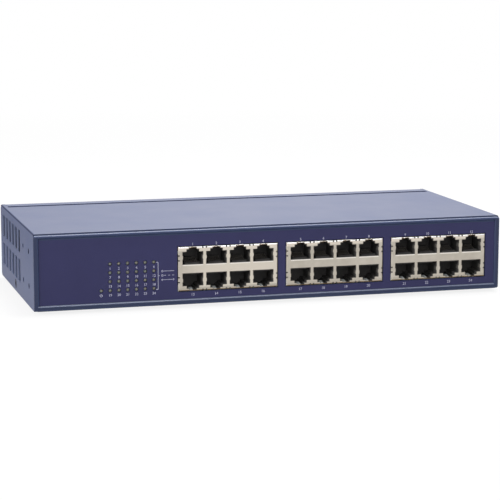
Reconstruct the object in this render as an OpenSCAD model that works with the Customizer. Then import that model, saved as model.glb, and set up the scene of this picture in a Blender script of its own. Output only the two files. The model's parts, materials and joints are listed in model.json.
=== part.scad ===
// Network switch with 24 jacks in three stacked blocks, in a folded steel case.
// The front faces -Y, +X is to the right seen from the front, Z = 0 is under the feet.

/* [Chassis] */
// Width across the side skirts
body_w = 280; // [278:1:300]
// Depth from front panel to rear wall
body_d = 125; // [124:1:150]
// Height without the feet
body_h = 44; // [43:0.5:48]
// Thickness of the sheet steel
sheet_t = 0.8; // [0.6:0.1:1]
// Outside radius of the sheet bends
bend_r = 1.2; // [1.1:0.1:2]
// Height of the low side walls of the tray
tray_wall_h = 24; // [22:0.5:25]
// Depth of the flange along the top of the front panel
front_flange_d = 9; // [6:0.5:12]
// Width of the rear wall's top flange
rear_flange_w = 274; // [250:1:275]
// Depth of the rear wall's top flange
rear_flange_d = 10; // [7:0.5:12]
// Length of the dip in the cover ahead of the rear flange
joggle_l = 4; // [3:0.5:6]

/* [Front panel] */
// Width of the raised frame at the sides of the front panel
frame_side = 2.1; // [1.6:0.1:4]
// Height of the frame under the recessed field
frame_edge = 2.4; // [2:0.1:3]
// Height of the frame above the recessed field
frame_top = 1.2; // [1.2:0.1:3]
// Depth of the recessed field
recess_d = 0.8; // [0.5:0.1:1]
// Width of the sloping edge of the recess
recess_slope = 0.8; // [0.2:0.05:0.9]
// Thickness of the printed front film
film_t = 0.25; // [0.2:0.05:0.3]

/* [Jack blocks] */
// Pitch of the ports in a block
port_pitch = 13.97; // [13.97:0.01:14.1]
// Pitch of the three blocks
block_pitch = 64.5; // [63:0.5:65]
// Distance from the last block to the right side
block_margin = 8.8; // [8:0.1:12]
// Width of the metal beside the outer ports
jack_cheek = 1.76; // [1.6:0.02:1.9]
// Height of a block
jack_h = 25.8; // [25:0.1:26]
// Depth of a block
jack_d = 25; // [23:0.5:26]
// How far the blocks stand proud of the film
jack_proud = 0.4; // [0.2:0.1:0.5]
// Thickness of the jack shields
shield_t = 0.3; // [0.2:0.05:0.35]
// Radius of the shield's front edges
shield_r = 1; // [0.5:0.1:1]
// Height of the plain band between the two rows
band_h = 4.9; // [4.8:0.1:5.5]
// Width of a port window
port_w = 12.3; // [12:0.05:12.3]
// Height of a port window below its latch steps
port_h = 7.5; // [7.1:0.05:7.5]
// Width of the first latch step
step_w = 7.5; // [7:0.1:8]
// Height of the first latch step
step_h = 1.5; // [1.3:0.1:1.6]
// Width of the second latch step
keep_w = 4.6; // [4:0.1:5]
// Height of the second latch step
keep_h = 0.9; // [0.7:0.1:1]
// Depth of a port behind the shield face
port_d = 14; // [13:0.5:15]

/* [Contact springs] */
// Pitch of the eight wires in a port
wire_pitch = 1.016; // [1:0.002:1.02]
// Width of a wire
wire_w = 0.36; // [0.3:0.02:0.4]
// Thickness of a wire
wire_t = 0.3; // [0.25:0.01:0.35]
// Radius of the rolled root that a wire turns on
root_r = 0.4; // [0.35:0.01:0.45]
// Place of the root behind the shield face
root_y = 3.2; // [3:0.1:3.6]
// Length of a spring from its root
spring_l = 8.2; // [7.5:0.1:8.4]
// Slope of a free spring in degrees
spring_rise = 16; // [15:0.5:16]

/* [Lamps] */
// Pitch of the lamp columns
lamp_pitch_x = 5.08; // [4.6:0.02:5.1]
// Pitch of the lamp rows
lamp_pitch_z = 5.08; // [4.8:0.02:5.1]
// Distance from the last lamp column to the first block
lamp_margin = 14; // [12:0.1:16]
// Height of the lowest lamp row above the chassis bottom
lamp_z = 10.1; // [10:0.1:11]
// Diameter of a lamp
lamp_d = 2.1; // [1.6:0.1:2.2]

/* [Vents and side holes] */
// Pitch of the side slots
vent_pitch = 12; // [11:0.5:12]
// Width of a side slot
vent_w = 8; // [6:0.5:8]
// Height of a side slot
vent_h = 13.4; // [11:0.2:13.4]
// Place of the first slot behind the front
vent_y = 49.5; // [49:0.5:52]
// Height of the lower slots above the chassis bottom
vent_z = 8.2; // [8:0.1:9]
// Height of the plain band between the two rows of slots
vent_gap = 4.1; // [3.5:0.1:5]
// Pitch of the square pattern of rack ear holes
rack_pitch = 20; // [18:0.5:20]
// Diameter of the rack ear holes, for tapping M4
rack_hole_d = 3.3; // [3:0.1:3.5]
// Place of the first rack ear holes behind the front
rack_y = 18; // [17:0.5:22]
// Height of the lower rack ear holes
rack_z = 11.8; // [10:0.1:13]
// Place of the cover screw behind the front
screw_y = 68; // [66:0.5:72]
// Height of the cover screw
screw_z = 4.5; // [4.3:0.1:4.8]

/* [Feet] */
// Height of a rubber foot
foot_h = 2; // [1.5:0.1:4]
// Diameter of a rubber foot
foot_d = 12; // [10:0.5:14]
// Inset of the feet from the sides
foot_inset = 22; // [18:1:30]

/* [Main board] */
// Thickness of both boards
board_t = 1.6; // [1.2:0.1:1.6]
// Height of the standoffs
standoff_h = 5.2; // [5:0.1:6]
// Width of the main board to the left of the power lamp
board_left = 8; // [6:0.5:10]
// Gap between the main board and the right wall
board_gap = 3.05; // [2:0.05:5]
// Distance from the main board to the rear wall
board_rear = 21.6; // [16:0.2:24]
// Gap between the power board and the board's strip in front of it
strip_gap = 6.4; // [3:0.2:10]
// Gap between the power board and the deep part of the main board
step_gap = 8; // [6:0.5:10]
// Side of the switch chip
chip_w = 28; // [24:1:30]
// Height of the chip's heatsink
sink_h = 12; // [8:1:15]

/* [Power supply] */
// Gap between the power board and the left wall
power_gap = 7.05; // [5:0.05:9]
// Width of the power board
power_w = 104; // [102:0.5:106]
// Depth of the power board
power_d = 46; // [44:1:48]

/* [Mains inlet] */
// Distance from the power board's outer edge to the middle of the inlet
inlet_in = 28; // [26:0.5:32]
// Width of the inlet body
inlet_w = 27; // [27:0.2:28]
// Height of the inlet body
inlet_h = 19.8; // [19.8:0.1:20.4]
// Distance between the inlet screws
inlet_screws = 40; // [39:0.5:42]
// Depth of the inlet body
inlet_d = 18; // [17.5:0.5:20]

/* [Clearances] */
// Gap between the cover's skirts and the tray
skirt_gap = 0.15; // [0.1:0.05:0.3]
// Gap around the jacks in the front panel
window_gap = 0.3; // [0.2:0.05:0.5]
// Gap between a jack housing and its shield
shield_gap = 0.05; // [0.02:0.01:0.1]
// Gap around the roots of the springs
root_gap = 0.05; // [0.03:0.01:0.08]
// Gap around the lamps in their holder
lamp_gap = 0.05; // [0.03:0.01:0.1]
// Gap around the inlet in the rear wall
inlet_gap = 0.2; // [0.1:0.05:0.4]
// Gap around the screws in the sheet
screw_gap = 0.05; // [0.02:0.01:0.1]

/* [Hidden] */
$fn = 48;
eps = 0.01;
cols = 4;
blocks = 3;
ports = 2 * blocks * cols;
SIDES = ["left", "middle", "right"];
function two(n) = str(n < 10 ? "0" : "", n);
function contacts_name(n) = str("contacts_", two(n));

// Chassis planes. Heights count from the underside of the tray
front_y = -body_d / 2;
rear_y = body_d / 2;
panel_top = body_h - sheet_t;
tray_x = body_w / 2 - sheet_t - skirt_gap;
cover_y = front_y + bend_r + skirt_gap;
skirt_rear = rear_y - bend_r - skirt_gap;
joggle_y = rear_y - rear_flange_d - joggle_l;
joggle_run = 1.2;
lip_drop = sheet_t + skirt_gap;
lip_end = rear_y - sheet_t - 1;
high_wall_y = front_y + rack_y + rack_pitch + 6;
high_wall_h = rack_z + rack_pitch + 5;
vent_rear = 7;
vents = 1 + floor((body_d - vent_y - vent_rear - vent_w) / vent_pitch);

// Front panel
field_y = front_y + recess_d;
field_back = field_y + sheet_t;
film_y = field_y - film_t;
film_edge = 0.1;
film_hole_d = lamp_d + 0.1;
panel_hole_d = lamp_d + 0.6;

// Screws
head_d = 5.5;
shank_d = 3;
screw_l = 6;
pan_h = 2;
pan_reach = 3;
head_h = (head_d - shank_d) / 2;
cross_w = 0.9;
cross_l = 3;

// Boards
flange_t = 2.4;
flange_gap = 0.8;
power_hole_back = 12;
board_z = sheet_t + standoff_h;
board_top = board_z + board_t;
board_y = field_back + 1;
hole_in = 4;
board_hole_d = 3.2;
standoff_d = 5;
power_x0 = power_gap - tray_x;
power_back = rear_y - sheet_t - flange_t - flange_gap;
power_y = power_back - power_d;

strip_d = power_y - strip_gap - board_y;
board_d = rear_y - sheet_t - board_rear - board_y;
board_x1 = tray_x - board_gap;
step_x = power_x0 + power_w + step_gap;

// Jacks: y counts back from the shield face, z up from the board or out from a port's floor
jack_y = film_y - jack_proud;
jack_w = cols * port_pitch + 2 * jack_cheek;
block_x = body_w / 2 - block_margin - jack_w / 2 - block_pitch;
housing_w = jack_w - 2 * (shield_t + shield_gap);
housing_y = shield_t + shield_gap;
housing_d = port_d + 3;
cavity_in = 0.1;
lip_l = 3;
finger_w = 1.3;
finger_l = 2.4;
finger_rise = 0.22;
slot_w = 0.8;
slot_h = 1.1;
end_finger_w = 2;
end_finger_z = 6.3;
ground_w = 2;
ground_l = 4;
ground_z = 3.2;
latch_leaf_y = 0.2;
latch_leaf_in = 0.8;
leaf_t = 0.2;

// Contact springs and their terminals
wires = 8;
root_z = root_r - 0.1;
nose_l = 1.6;
tip_l = 1;
tip_bend = 35;
rib_t = 0.45;
rib_h = 0.35;
comb_w = wires * wire_pitch + rib_t;
comb_y = 10.6;
comb_h = 2.7;
carrier_gap = 0.04;
tail_w = 0.5;
tail_t = 0.3;
tail_z = 0.8;
tail_back = [4.6, 1.8];

// Lamps
lamp_cols = 6;
lamp_rows = 4;
lamp_x = block_x - block_pitch - jack_w / 2 - lamp_margin - (lamp_cols - 1) * lamp_pitch_x;
board_x0 = lamp_x - lamp_pitch_x - board_left;
lead_t = 0.4;
lead_x = 0.45;
lead_row = 2.2;
holder_wall = 2.5;
holder_y = field_back + 0.2;
holder_d = 5;
holder_back = holder_y + holder_d;

// Mains inlet
inlet_x = power_x0 + inlet_in;
inlet_z = board_top + inlet_h / 2 + 0.3;
flange_over = [5, 1.2];
socket_w = 24.4;
socket_h = 16.4;
socket_d = 14.8;
socket_cut = 4;
blade_w = 2;
blade_h = 4;
blade_x = 7;
blade_z = 2;
blade_l = 11;

// Parts on the main board
chip_h = 3.4;
chip_pins = 20;
chip_pitch = 1.2;
chip_back = 36;
sink_over = 4;
sink_base = 2.5;
fin_t = 1.2;
fins = 9;
module_size = [25, 12, 6];
module_pins = 18;
module_pitch = 1.27;
module_back = 10;
crystal_size = [10.4, 3.8, 3.6];
crystal_rim = 0.4;
crystal_left = 26;
crystal_back = 20;
coil_size = [12, 12, 6];
coil_d = 15;
coil_ahead = 22;
regulator_size = [6.6, 6.2, 2.4];
regulator_in = 15;
regulator_step = 22;
regulator_ahead = 8;
driver_size = [10, 4, 1.8];
driver_step = 16;
driver_ahead = 26;
memory_size = [5, 4, 1.8];
memory_in = 20;
memory_back = 30;
small_can = [8, 11];
small_can_in = 6;
small_can_step = 11;
small_can_ahead = 36;

// Parts on the power board, with their places from its front left corner
filter_size = [18, 8, 14];
filter_at = [14, 20];
choke_d = 17;
choke_t = 4;
choke_h = 6;
choke_wire = 0.6;
choke_at = [35, 15];
bridge_size = [8, 6.5, 3.6];
bridge_at = [48, 30];
bulk_can = [16, 25];
bulk_at = [54, 13];
fuse_d = 4.6;
fuse_l = 20;
fuse_z = 4.5;
clip_w = 5;
clip_t = 0.3;
clip_x = 7.5;
fuse_at = [66, 40];
plate_size = [2, 24, 24];
plate_ribs = 5;
plate_rib = [1.5, 1.2];
plate_at = [66, 14];
rear_plate_size = [20, 2, 18];
rear_plate_at = [91, 43.5];
tab_size = [10, 2.6, 15];
tab_z = 5;
tab_pitch = 2.54;
coupler_size = [5, 6.5, 3.6];
coupler_at = [72, 6];
core_size = [22, 8, 17.5];
core_t = 3.5;
core_d = 8;
bobbin_size = [20, 22, 2];
winding_d = 14.6;
transformer_at = [86, 14];
output_can = [10, 18];
output_step = 12;
output_at = [80, 33];

// Low voltage lead between the boards
link_w = 5;
link_h = 8;
link_pitch = 2.5;
link_wall = 1;
link_wires = 4;
link_edge = [1.5, 2.5];
link_x = [power_x0 + power_w - link_edge[0] - link_w / 2, step_x + link_edge[1] + link_w / 2];
link_ahead = 14;
link_y = power_y + link_ahead;
lead_d = 1.6;
lead_in = 3;
lead_rise = 6;

function block_place(b) = block_x + (b - 1) * block_pitch;
function port_x(n) = block_place(floor(((n - 1) % (blocks * cols)) / cols))
    + ((n - 1) % cols - (cols - 1) / 2) * port_pitch;
function row_of(n) = n <= blocks * cols ? 0 : 1;
function floor_z(n) = board_top + jack_h / 2 + (row_of(n) == 0 ? 1 : -1) * band_h / 2;
function ports_of(b) = [for (r = [0, 1]) for (c = [1:cols]) (r * blocks + b) * cols + c];
function wire_x(i) = (i - (wires - 1) / 2) * wire_pitch;

// Each lamp is [x, z, row]. The last one is the power lamp
lamp_places = concat(
    [for (r = [0:lamp_rows - 1]) for (c = [0:lamp_cols - 1])
        [lamp_x + c * lamp_pitch_x, lamp_z + r * lamp_pitch_z, r]],
    [[lamp_x - lamp_pitch_x, lamp_z, 0]]);

hole_front = board_y + jack_d + hole_in;
hole_rear = board_y + board_d - hole_in;
between = [block_x - block_pitch / 2, block_x + block_pitch / 2];
main_holes = [[board_x0 + hole_in, hole_front], [board_x0 + hole_in, board_y + strip_d - hole_in],
    [between[0], hole_front], [between[1], hole_front], [board_x1 - hole_in, hole_front],
    [step_x + hole_in, hole_rear], [between[1], hole_rear], [board_x1 - hole_in, hole_rear]];
power_holes = [for (x = [power_x0 + hole_in, power_x0 + power_w - hole_in])
    for (y = [power_y + hole_in, power_back - power_hole_back]) [x, y]];

// Puts chassis heights on top of the feet
module raised() translate([0, 0, foot_h]) children();

// Puts children on the main board at x and y
module on_board(x, y) translate([x, y, board_top]) children();

// Puts children on the power board at x and y from its front left corner
module on_power(x, y) on_board(power_x0 + x, power_y + y) children();

// Extrudes a Y-Z outline along X, centred
module along_x(w) rotate([90, 0, 90]) linear_extrude(w, center = true) children();

// Extrudes an X-Z outline back from y
module along_y(y, d) translate([0, y + d, 0]) rotate([90, 0, 0]) linear_extrude(d) children();

// Box between two corners
module span(a, b) translate(a) cube(b - a);

// Box of a size, centred in X and Y and standing on z = 0
module block(w, d, h) translate([-w / 2, -d / 2, 0]) cube([w, d, h]);

// The children, and the same on the other side of the centre line
module both_sides() {
    children();
    mirror([1, 0, 0]) children();
}

// Rectangle between two corners, with round corners
module round_rect(x0, z0, x1, z1, r) {
    translate([x0 + r, z0]) square([x1 - x0 - 2 * r, z1 - z0]);
    translate([x0, z0 + r]) square([x1 - x0, z1 - z0 - 2 * r]);
    for (x = [x0 + r, x1 - r])
        for (z = [z0 + r, z1 - r]) translate([x, z]) circle(r);
}

// Sheet folded along the inside of a round rectangle
module sheet_ring(x0, z0, x1, z1) difference() {
    round_rect(x0, z0, x1, z1, bend_r);
    round_rect(x0 + sheet_t, z0 + sheet_t, x1 - sheet_t, z1 - sheet_t, bend_r - sheet_t);
}

// Rectangle centred on X, between two heights
module band(x, z0, z1) translate([-x, z0]) square([2 * x, z1 - z0]);

// Field of the front panel, drawn in from the frame by a distance
module field(in) band(body_w / 2 - frame_side - in, frame_edge + in, panel_top - frame_top - in);

// Window for a jack block
module jack_window(b, gap) translate([block_place(b) - jack_w / 2 - gap, board_top - gap])
    square([jack_w + 2 * gap, jack_h + 2 * gap]);

// Holes over the lamps
module lamp_holes(d) for (p = lamp_places) translate([p[0], p[1]]) circle(d = d);

// Rack ear holes of one side
module rack_holes() for (dy = [0, rack_pitch]) for (dz = [0, rack_pitch])
    translate([body_w / 2 - 5, front_y + rack_y + dy, rack_z + dz])
        rotate([0, 90, 0]) cylinder(d = rack_hole_d, h = 10);

// Slots of one side, in the rows listed
module side_slots(w, rows) for (i = [0:vents - 1]) for (r = rows)
    translate([body_w / 2 - 5, front_y + vent_y + i * vent_pitch,
               vent_z + r * (vent_h + vent_gap)]) cube([10, w, vent_h]);

// Countersunk screw, its head flush with z = 0, made larger all round by a gap
module countersunk(gap) {
    translate([0, 0, -head_h]) cylinder(d1 = shank_d + 2 * gap, d2 = head_d + 2 * gap, h = head_h);
    translate([0, 0, -screw_l - gap])
        cylinder(d = shank_d + 2 * gap, h = screw_l - head_h + gap + eps);
}

// The two cover screws and the two inlet screws
module at_screws() {
    both_sides() translate([body_w / 2, front_y + screw_y, screw_z]) rotate([0, 90, 0]) children();
    for (s = [-1, 1]) translate([inlet_x + s * inlet_screws / 2, rear_y, inlet_z])
        rotate([-90, 0, 0]) children();
}

// Outline of the mains socket, its corners cut on the earth side
module socket(w, h) translate([inlet_x, inlet_z]) polygon([[-w / 2, -h / 2], [w / 2, -h / 2],
    [w / 2, h / 2 - socket_cut], [w / 2 - socket_cut, h / 2], [-w / 2 + socket_cut, h / 2],
    [-w / 2, h / 2 - socket_cut]]);

// Y-Z outline of the tray: front with its top flange, floor, plain rear
module tray_outline() {
    intersection() {
        sheet_ring(front_y, 0, rear_y, panel_top);
        translate([front_y, 0]) square([front_flange_d, panel_top]);
    }
    translate([front_y + bend_r, 0]) square([body_d - 2 * bend_r, sheet_t]);
    intersection() {
        sheet_ring(front_y, 0, rear_y, body_h + bend_r);
        translate([rear_y - bend_r, 0]) square([bend_r, body_h - bend_r]);
    }
}

// Folded tray: floor, recessed front panel, rear wall with its flange, low side walls
module base_tray() color([0.22, 0.26, 0.42]) raised() difference() {
    union() {
        intersection() {
            along_x(body_w) tray_outline();
            union() {
                for (y = [front_y, rear_y - bend_r])
                    along_y(y, bend_r) round_rect(-body_w / 2, 0, body_w / 2, panel_top, bend_r);
                span([-tray_x + bend_r, front_y, 0], [tray_x - bend_r, rear_y, body_h]);
            }
        }
        along_y(front_y + sheet_t / 2, body_d - sheet_t) difference() {
            sheet_ring(-tray_x, 0, tray_x, body_h);
            band(body_w / 2, tray_wall_h, body_h + 1);
        }
        both_sides() span([tray_x - sheet_t, front_y + sheet_t / 2, tray_wall_h - 1],
                          [tray_x, high_wall_y, high_wall_h]);
        along_x(rear_flange_w) intersection() {
            sheet_ring(front_y, 0, rear_y, body_h);
            translate([rear_y - rear_flange_d, body_h - 2 * bend_r])
                square([rear_flange_d, 2 * bend_r]);
        }
        along_y(front_y + sheet_t / 2, recess_d + sheet_t / 2) field(-sheet_t);
    }
    hull() {
        along_y(front_y - eps, eps) field(0);
        along_y(field_y - eps, eps) field(recess_slope);
    }
    along_y(front_y, 5) {
        for (b = [0:blocks - 1]) jack_window(b, window_gap);
        lamp_holes(panel_hole_d);
    }
    both_sides() {
        rack_holes();
        side_slots(vent_w / 2, [0]);
    }
    along_y(rear_y - 2, 4) socket(inlet_w + 2 * inlet_gap, inlet_h + 2 * inlet_gap);
    at_screws() countersunk(screw_gap);
}

// Cover: top, two slotted skirts, and the lip that dips under the rear flange
module top_cover() color([0.24, 0.28, 0.46]) raised() {
    difference() {
        intersection() {
            along_y(cover_y, rear_y - cover_y) difference() {
                sheet_ring(-body_w / 2, -2 * bend_r, body_w / 2, body_h);
                band(body_w / 2, -2 * bend_r, 0);
            }
            union() {
                span([-body_w / 2, cover_y, 0], [body_w / 2, skirt_rear, body_h]);
                span([-body_w / 2, cover_y, panel_top], [body_w / 2, rear_y, body_h]);
            }
        }
        span([-rear_flange_w / 2 - skirt_gap, joggle_y, panel_top - 1],
             [rear_flange_w / 2 + skirt_gap, rear_y + 1, body_h + 1]);
        both_sides() {
            rack_holes();
            side_slots(vent_w, [0, 1]);
        }
        at_screws() countersunk(screw_gap);
    }
    along_x(rear_flange_w) polygon([[joggle_y, body_h], [joggle_y + joggle_run, body_h - lip_drop],
        [lip_end, body_h - lip_drop], [lip_end, body_h - lip_drop - sheet_t],
        [joggle_y + joggle_run, body_h - lip_drop - sheet_t], [joggle_y, body_h - sheet_t]]);
}

// Printed film in the recess of the front panel
module front_overlay() color([0.24, 0.23, 0.38]) raised() along_y(film_y, film_t) difference() {
    field(recess_slope + film_edge);
    for (b = [0:blocks - 1]) jack_window(b, window_gap);
    lamp_holes(film_hole_d);
}

// Four stick-on feet
module rubber_feet() color([0.1, 0.1, 0.1]) both_sides() for (s = [-1, 1])
    translate([body_w / 2 - foot_inset, s * (body_d / 2 - foot_inset), 0]) rotate_extrude()
        polygon([[0, 0], [foot_d / 2 - 0.5, 0], [foot_d / 2, 0.5], [foot_d / 2, foot_h], [0, foot_h]]);

// Two screws hold the cover and two hold the mains inlet
module countersunk_screws() color([0.3, 0.3, 0.33]) raised() at_screws() difference() {
    countersunk(0);
    for (a = [0, 90]) rotate(a) translate([-cross_l / 2, -cross_w / 2, -1]) cube([cross_l, cross_w, 2]);
}

// Outline of a port window with its two latch steps, made smaller all round
module port_outline(in) for (s = [[port_w, port_h], [step_w, port_h + step_h],
                                  [keep_w, port_h + step_h + keep_h]])
    translate([in - s[0] / 2, in]) square([s[0] - 2 * in, s[1] - 2 * in]);

// Puts children at a port: y = 0 on the shield face, z = 0 on the contact side of the window
module at_port(n) translate([port_x(n), jack_y, floor_z(n)]) mirror([0, 0, row_of(n)]) children();

// Box from the plane y = 0 back, its four front edges rounded
module soft_box(w, d, h, r) intersection() {
    along_x(w) {
        translate([r, 0]) square([d - r, h]);
        translate([0, r]) square([d, h - 2 * r]);
        for (z = [r, h - r]) translate([r, z]) circle(r);
    }
    linear_extrude(h) {
        translate([r - w / 2, 0]) square([w - 2 * r, d]);
        translate([-w / 2, r]) square([w, d - r]);
        for (x = [r - w / 2, w / 2 - r]) translate([x, r]) circle(r);
    }
}

// Puts children at the middle of each panel finger of a shield, $w wide, z = 0 on its skin
module at_fingers() {
    for (i = [1:cols - 1]) translate([(i - cols / 2) * port_pitch, 0, 0]) {
        $w = finger_w;
        translate([0, 0, jack_h]) children();
        mirror([0, 0, 1]) children();
    }
    for (s = [-1, 1]) for (t = [-1, 1])
        translate([s * jack_w / 2, 0, jack_h / 2 + t * end_finger_z]) rotate([0, s * 90, 0]) {
            $w = end_finger_w;
            children();
        }
}

// Two slots that free a panel finger, and the finger between them, crowned to press on the panel
module finger_slots() for (s = [-1, 1])
    translate([s * ($w + slot_w) / 2, finger_l / 2 - 0.5, -slot_h])
        block(slot_w, finger_l + 1, 2 * slot_h);
module finger() along_x($w) polygon([[shield_r, -shield_t], [shield_r, 0],
    [(shield_r + finger_l) / 2, finger_rise], [finger_l, 0], [finger_l, -shield_t]]);

// Leaves of a port: one on each side for the plug's screen, one in the left of the latch way
module port_leaves() {
    top = port_h + step_h + keep_h;
    for (s = [-1, 1]) translate([s * (port_w / 2 - cavity_in - leaf_t / 2), ground_l / 2, ground_z])
        block(leaf_t, ground_l, ground_w);
    for (s = [-1, 1]) translate([s * port_w / 2, shield_t / 2, ground_z])
        block(2 * (cavity_in + leaf_t), shield_t, ground_w);
    low = top - cavity_in - leaf_t;
    translate([(cavity_in - keep_w / 2) / 2, 0, 0]) along_x(keep_w / 2 - cavity_in)
        polygon([[latch_leaf_y, top + 0.08], [latch_leaf_y, low], [ground_l, low - latch_leaf_in],
                 [ground_l, low - latch_leaf_in + leaf_t], [2 * latch_leaf_y, low + leaf_t],
                 [2 * latch_leaf_y, top + 0.08]]);
}

// Plated steel shield round a block, open below behind its lip
module jack_shield(b) color([0.8, 0.77, 0.7]) raised() {
    difference() {
        translate([block_place(b), jack_y, board_top]) difference() {
            soft_box(jack_w, jack_d, jack_h, shield_r);
            translate([0, shield_t, shield_t])
                soft_box(jack_w - 2 * shield_t, jack_d - 2 * shield_t, jack_h - 2 * shield_t,
                         shield_r - shield_t);
            span([-jack_w / 2 + shield_t, lip_l, -1],
                 [jack_w / 2 - shield_t, jack_d - shield_t, 1]);
            at_fingers() finger_slots();
        }
        for (n = ports_of(b)) at_port(n) along_y(-1, 2) port_outline(0);
    }
    translate([block_place(b), jack_y, board_top]) at_fingers() finger();
    for (n = ports_of(b)) at_port(n) port_leaves();
}

// Moulded housing of a block, with eight ports and a slot for the carrier of each column
module jack_housing(b) color([0.1, 0.1, 0.1]) raised() difference() {
    translate([block_place(b), jack_y + housing_y, board_top + housing_y])
        soft_box(housing_w, housing_d - housing_y, jack_h - 2 * housing_y, shield_r - housing_y);
    for (n = ports_of(b)) at_port(n) along_y(0, port_d) port_outline(cavity_in);
    for (c = [0:cols - 1]) translate([port_x(b * cols + c + 1), 0, 0])
        span([-comb_w / 2, jack_y + root_y - nose_l, board_top + (jack_h - band_h) / 2 - cavity_in]
             - carrier_gap * [1, 1, 1],
             [comb_w / 2, jack_y + housing_d, board_top + (jack_h + band_h) / 2 + cavity_in]
             + carrier_gap * [1, 1, 1]);
}

// Ribs between the wires of a port, over a depth, up to a height above the floor
module ribs(y, d, h) for (i = [0:wires]) translate([(i - wires / 2) * wire_pitch - rib_t / 2, y, 0])
    cube([rib_t, d, h]);

// Contact carriers, one for both ports of a column: a nose and two combs for each port
module contact_carriers() color([0.16, 0.16, 0.17]) raised() for (u = [1:blocks * cols]) difference() {
    union() {
        translate([port_x(u), jack_y, 0])
            span([-comb_w / 2, root_y - nose_l, board_top + (jack_h - band_h) / 2 - cavity_in],
                 [comb_w / 2, housing_d, board_top + (jack_h + band_h) / 2 + cavity_in]);
        for (n = [u, u + blocks * cols]) at_port(n) {
            translate([0, root_y - nose_l / 2, 0]) block(comb_w, nose_l, root_z + root_r);
            ribs(root_y - nose_l, nose_l + 2 * root_r, root_z + root_r + rib_h);
            ribs(comb_y, port_d - comb_y, comb_h);
        }
    }
    for (n = [u, u + blocks * cols]) at_port(n) for (i = [0:wires - 1])
        translate([wire_x(i), 0, 0]) along_x(wire_pitch - rib_t)
            translate([root_y, root_z]) circle(root_r + root_gap);
}

// Eight spring wires of a port, turning on their rolled roots
module contacts(n) color([0.85, 0.68, 0.25]) raised() at_port(n) for (i = [0:wires - 1])
    translate([wire_x(i), root_y, root_z]) along_x(wire_w) {
        circle(root_r);
        rotate(spring_rise) translate([0, -wire_t / 2]) square([spring_l, wire_t]);
        rotate(spring_rise) translate([spring_l, 0]) circle(wire_t / 2);
        rotate(spring_rise) translate([spring_l, 0]) rotate(-tip_bend)
            translate([0, -wire_t / 2]) square([tip_l, wire_t]);
    }

// Solder tails of all the contacts, from the back of each housing down to the board
module jack_terminals() color([0.8, 0.7, 0.4]) raised()
    for (n = [1:ports]) for (i = [0:wires - 1])
        translate([port_x(n) + wire_x(i), jack_y, 0]) {
            back = housing_d + tail_back[row_of(n)];
            top = floor_z(n) + tail_z * (row_of(n) == 0 ? -1 : 1);
            span([-tail_w / 2, housing_d, top - tail_t], [tail_w / 2, back, top]);
            span([-tail_w / 2, back - tail_t, board_top], [tail_w / 2, back, top]);
        }

// Board with the jacks, the lamps and the switch chip
module main_board() color([0.1, 0.32, 0.18]) raised() translate([0, 0, board_z]) difference() {
    linear_extrude(board_t) polygon([[board_x0, board_y], [board_x1, board_y],
        [board_x1, board_y + board_d], [step_x, board_y + board_d], [step_x, board_y + strip_d],
        [board_x0, board_y + strip_d]]);
    for (p = main_holes) translate([p[0], p[1], -1]) cylinder(d = board_hole_d, h = board_t + 2);
}

// Board with the power supply
module power_board() color([0.55, 0.42, 0.2]) raised() translate([0, 0, board_z]) difference() {
    translate([power_x0, power_y, 0]) cube([power_w, power_d, board_t]);
    for (p = power_holes) translate([p[0], p[1], -1]) cylinder(d = board_hole_d, h = board_t + 2);
}

// Threaded posts pressed into the floor
module board_standoffs() color([0.75, 0.75, 0.78]) raised()
    for (p = concat(main_holes, power_holes)) translate([p[0], p[1], sheet_t]) difference() {
        cylinder(d = standoff_d, h = standoff_h);
        translate([0, 0, 1]) cylinder(d = shank_d + 2 * screw_gap, h = standoff_h);
    }

// Pan head screws of both boards
module board_screws() color([0.8, 0.8, 0.82]) raised()
    for (p = concat(main_holes, power_holes)) on_board(p[0], p[1]) {
        cylinder(d = head_d, h = pan_h);
        translate([0, 0, -board_t - pan_reach])
            cylinder(d = shank_d, h = board_t + pan_reach + eps);
    }

// Row of gull-wing leads along X, their bodies' side at y = 0 and their feet towards -Y
module leads(count, pitch, height) for (i = [0:count - 1])
    translate([(i - (count - 1) / 2) * pitch, 0, 0]) along_x(pitch * 0.45)
        polygon([[0.01, height], [-0.5, height], [-0.8, 0.15], [-1.4, 0.15], [-1.4, 0], [-0.65, 0],
                 [-0.4, height - 0.15], [0.01, height - 0.15]]);

// Body of a chip or module with leads along two or four sides
module leaded(size, count, pitch, sides) {
    translate([0, 0, 0.2]) block(size[0], size[1], size[2] - 0.2);
    for (a = sides) rotate(a) translate([0, -size[a % 180 == 0 ? 1 : 0] / 2, 0])
        leads(count, pitch, min(size[2] / 2, 1.6));
}

// Switch chip on the main board, between the rear screws
module switch_chip() color([0.12, 0.12, 0.13]) raised() on_board(between[1], hole_front + chip_back)
    leaded([chip_w, chip_w, chip_h], chip_pins, chip_pitch, [0, 90, 180, 270]);

// Finned heatsink on the switch chip
module chip_heatsink() color([0.7, 0.71, 0.73]) raised()
    on_board(between[1], hole_front + chip_back) translate([0, 0, chip_h]) {
        side = chip_w + 2 * sink_over;
        block(side, side, sink_base);
        for (i = [0:fins - 1]) translate([(i / (fins - 1) - 0.5) * (side - fin_t), 0, 0])
            block(fin_t, side, sink_h);
    }

// Six transformer modules, two behind each block
module line_transformers() color([0.14, 0.14, 0.15]) raised() for (b = [0:blocks - 1])
    for (s = [-1, 1]) on_board(block_place(b) + s * jack_w / 4, jack_y + jack_d + module_back)
        leaded(module_size, module_pins, module_pitch, [0, 180]);

// Outline with two round ends, extruded
module slug(w, d, h) {
    block(w - d, d, h);
    for (s = [-1, 1]) translate([s * (w - d) / 2, 0, 0]) cylinder(d = d, h = h);
}

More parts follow.
